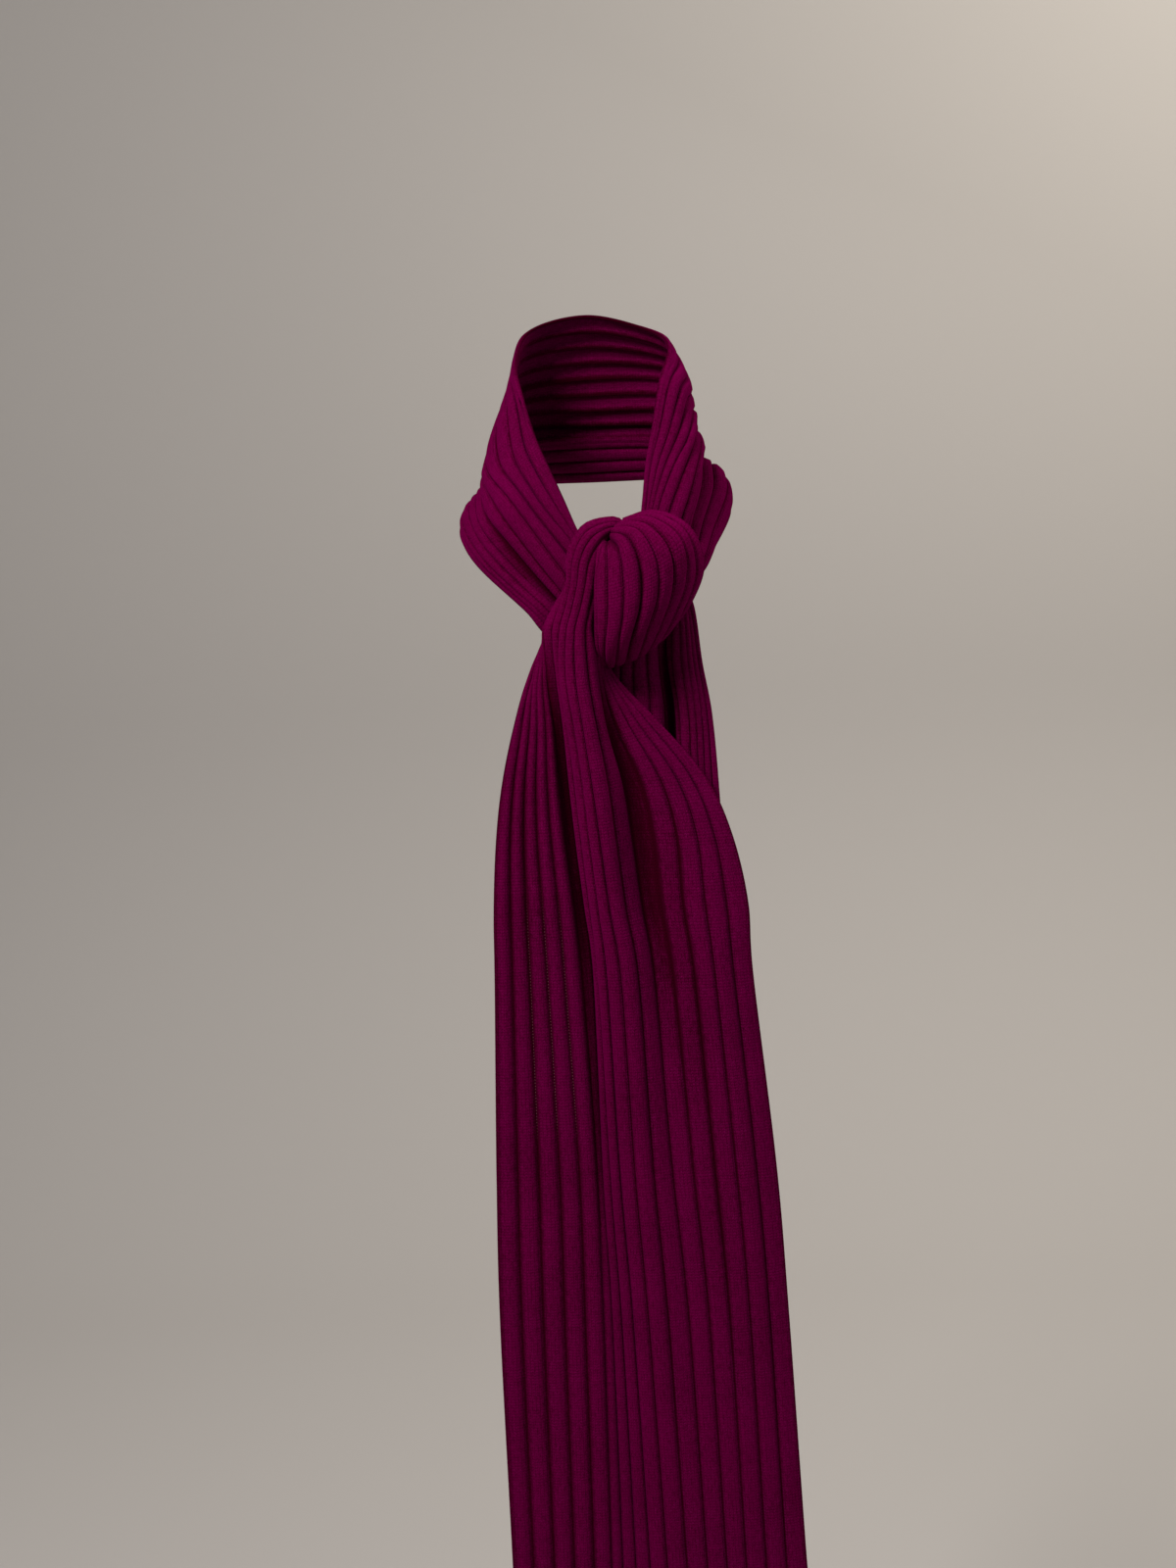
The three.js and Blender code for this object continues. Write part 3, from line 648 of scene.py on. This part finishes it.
def make_rib_knit():
    finish = Finish("rib_knit")
    strip = finish.node("ShaderNodeAttribute", dict(attribute_name="knit")).outputs["Vector"]
    split = finish.node("ShaderNodeSeparateXYZ", inputs=[strip])
    rib, course, hollow_shade = (Value(finish, split.outputs[i]) for i in range(3))
    spot = finish.node("ShaderNodeTexCoord").outputs["Object"]
    drawn_out = finish.node("ShaderNodeCombineXYZ", inputs=[rib * 11, course * 0.4]).outputs[0]

    yarn_height = stitch_height(rib, course)
    drift = noise(finish, spot, scale=26.0, detail=3.0)
    fuzz = noise(finish, spot, scale=900.0, detail=2.0, roughness=0.7)
    heather = noise(finish, drawn_out, scale=1.0, detail=4.0, roughness=0.65)
    fibre = noise(finish, spot, scale=1300.0, detail=1.0)

    # Painted shade: deeper colour in the grooves, the deep folds and between the stitch legs.
    shade = hollow_shade ** 1.4 * SHADE["hollow_shade"] + (1 - yarn_height) * SHADE["stitch_gap_shade"]
    shade = shade + (drift - 0.5) * SHADE["drift"]
    shade = shade + (fuzz - 0.5) * SHADE["fuzz"] + (heather - 0.5) * SHADE["heather"]
    colour = mix_colours(finish, shade.step(-0.25, 1.0), YARN, YARN_DEEP_AND_SHADED)

    from_groove = ((rib + 0.5).fract() - 0.5).abs()
    # Painted highlights on the stitches just beside a groove, in patches; they and the pale fibres
    # stay out of the shaded hollows.
    edge_stitch = from_groove.band(*EDGE_STITCH) * course.wave()
    light = fibre.step(0.55, 0.75) * FIBRES + edge_stitch * drift.step(0.35, 0.65) * EDGE_GLINT
    colour = mix_colours(finish, light * (1 - hollow_shade.step(0.2, 0.9)), colour, YARN_PALE_AND_GLINT)
    holes = pin_holes(finish, spot, rib, course, from_groove)
    colour = mix_colours(finish, holes * HOLES, colour, PIN_HOLE)

    relief = yarn_height + (fuzz - 0.5) * 0.8
    bump = finish.node(
        "ShaderNodeBump", inputs=dict(Strength=0.55, Distance=0.7 * MM, Height=relief)
    ).outputs[0]
    surface = finish.node(
        "ShaderNodeBsdfPrincipled",
        inputs={
            "Base Color": colour,
            "Roughness": 0.92,
            "Specular IOR Level": 0.0,
            "Sheen Weight": 0.22,
            "Sheen Roughness": 0.45,
            "Sheen Tint": YARN_SHEEN,
            "Normal": bump,
        },
    )
    finish.node("ShaderNodeOutputMaterial", inputs=dict(Surface=surface.outputs[0]))
    return finish.material


rib_knit = make_rib_knit()
print("rib knit:", len(rib_knit.node_tree.nodes), "nodes")

# %% [markdown]
# ## The pieces
#
# Each stretch of the strip becomes one thin shell on the form of its solid, and stands
# for it. The strip is 16 ribs of 16 mm, so 256 mm across when it lies flat.


def finish_piece(piece, *nodes):
    piece.data.materials.append(rib_knit)
    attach(piece, "root")
    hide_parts(*nodes)


neck_loop, neck_length = make_cloth("neck_loop", rib_steps=9, row_count=300)
finish_piece(neck_loop, "neck_band_left", "neck_band_right")

front_tail, front_length = make_cloth("front_tail_cloth", rib_steps=9, row_count=300)
finish_piece(front_tail, "knot_arch", "front_tail")

knot_bulb, bulb_length = make_cloth("knot_bulb", rib_steps=16, row_count=120)
finish_piece(knot_bulb, "knot_wrap")

back_tail, back_length = make_cloth("back_tail_cloth", rib_steps=9, row_count=240)
finish_piece(back_tail, "back_tail")

# %% [markdown]
# The inside of the knot is a wad of the same cloth, gathered hard. Only glimpses of it
# show, between the arch and the bulb and from behind, so it is one rounded body with
# the ribs running over it.

# %% Make the gathered inside of the knot
WAD = dict(centre=(24, -96, -104), radii=(35, 24, 41), ribs=14, rib_height=0.07, sharpness=2.5)


def make_wad():
    bm = bmesh.new()
    bmesh.ops.create_uvsphere(bm, u_segments=168, v_segments=48, radius=1)
    layer = bm.verts.layers.float_vector.new("knit")
    for vertex in bm.verts:
        turn = math.atan2(vertex.co.y, vertex.co.x) / (2 * math.pi) * WAD["ribs"]
        groove = abs(math.cos(math.pi * turn)) ** WAD["sharpness"]
        swell = 1 + WAD["rib_height"] * (1 - groove) * (1 - vertex.co.z**4)
        # The third value is how deep the place lies in a groove, which the finish paints as shade.
        vertex[layer] = (turn, vertex.co.z * WAD["radii"][2] * MM / STITCH_ROW, groove)
        vertex.co = [
            (middle + x * radius * swell) * MM
            for middle, x, radius in zip(WAD["centre"], vertex.co, WAD["radii"])
        ]
    for face in bm.faces:
        face.smooth = True
    mesh = bpy.data.meshes.new("knot_inner")
    bm.to_mesh(mesh)
    bm.free()
    wad = bpy.data.objects.new("knot_inner", mesh)
    bpy.context.collection.objects.link(wad)
    return wad


knot_inner = make_wad()
finish_piece(knot_inner, "knot_core")
print("knot_inner:", len(knot_inner.data.polygons), "faces")

# %% [markdown]
# The bulb shows 8 of the strip's ribs, and the others are gathered inside the knot.

# %% [markdown]
# ## Floor, backdrop and light
#
# A pale floor runs up into a pale wall in one sweep, well behind the scarf. A soft light
# stands high on the left, a weak one on the right and another behind. A warm one
# brightens the right of the wall, and the room is dim grey.

# %% Make the sweep of floor and backdrop
FLOOR = -1.45
WALL = 2.7
SWEEP = dict(width=9.0, front=-4.5, height=4.2, bend=1.0)


def sweep_point(run):
    """Goes along the floor, round the bend and up the wall, by its length."""
    floor_length = WALL - SWEEP["bend"] - SWEEP["front"]
    arc = SWEEP["bend"] * math.pi / 2
    if run < floor_length:
        return SWEEP["front"] + run, FLOOR
    if run > floor_length + arc:
        return WALL, FLOOR + SWEEP["bend"] + run - floor_length - arc
    turn = (run - floor_length) / SWEEP["bend"]
    lift = SWEEP["bend"] * (1 - math.cos(turn))
    return WALL - SWEEP["bend"] + SWEEP["bend"] * math.sin(turn), FLOOR + lift


def make_sweep():
    length = WALL - SWEEP["front"] + SWEEP["height"]
    bm = bmesh.new()
    bmesh.ops.create_grid(bm, x_segments=2, y_segments=120, size=0.5)
    for vertex in bm.verts:
        y, z = sweep_point((vertex.co.y + 0.5) * length)
        vertex.co = (vertex.co.x * SWEEP["width"], y, z)
    for face in bm.faces:
        face.smooth = True
    mesh = bpy.data.meshes.new("sweep")
    bm.to_mesh(mesh)
    bm.free()
    sweep = bpy.data.objects.new("sweep", mesh)
    bpy.context.collection.objects.link(sweep)
    return sweep


WALL_PAINT = (0.47, 0.447, 0.435, 1)


def make_paint():
    finish = Finish("pale_paint")
    surface = finish.node(
        "ShaderNodeBsdfPrincipled", inputs={"Base Color": WALL_PAINT, "Roughness": 0.9}
    )
    finish.node("ShaderNodeOutputMaterial", inputs=dict(Surface=surface.outputs[0]))
    return finish.material


sweep = make_sweep()
sweep.data.materials.append(make_paint())

# %% Light it softly
SCARF_PLACE = Vector((0, -0.08, -0.25))
WALL_PLACE = Vector((0.7, WALL, -0.6))
CREAM, WARM = (1.0, 0.97, 0.93), (1.0, 0.93, 0.80)
COOL, WHITE = (0.93, 0.96, 1.0), (1.0, 0.98, 0.95)
LIGHTS = {
    "key": dict(place=(-1.25, -1.5, 1.75), aim=SCARF_PLACE, size=0.9, watts=73, colour=CREAM),
    "fill": dict(place=(1.7, -1.5, 0.2), aim=SCARF_PLACE, size=1.6, watts=5, colour=COOL),
    "wall_light": dict(place=(2.1, 0.9, 1.9), aim=WALL_PLACE, size=1.8, watts=66, colour=WARM),
    "back": dict(place=(0.9, 1.6, 1.6), aim=SCARF_PLACE, size=0.8, watts=12, colour=WHITE),
}
ROOM_LIGHT = dict(colour=(0.80, 0.80, 0.82, 1), strength=0.19)


def add_light(name, place, aim, size, watts, colour):
    data = bpy.data.lights.new(name, "AREA")
    data.size, data.energy, data.color = size, watts, colour
    light = bpy.data.objects.new(name, data)
    turned = (aim - Vector(place)).to_track_quat("-Z", "Y").to_matrix().to_4x4()
    light.matrix_world = Matrix.Translation(place) @ turned
    bpy.context.collection.objects.link(light)


for name, light in LIGHTS.items():
    add_light(name, **light)

world = bpy.data.worlds.new("room")
world.use_nodes = True
room = world.node_tree.nodes["Background"]
room.inputs["Color"].default_value = ROOM_LIGHT["colour"]
room.inputs["Strength"].default_value = ROOM_LIGHT["strength"]
bpy.context.scene.world = world
bpy.context.scene.view_settings.view_transform = "Standard"
print("lights:", ", ".join(LIGHTS))
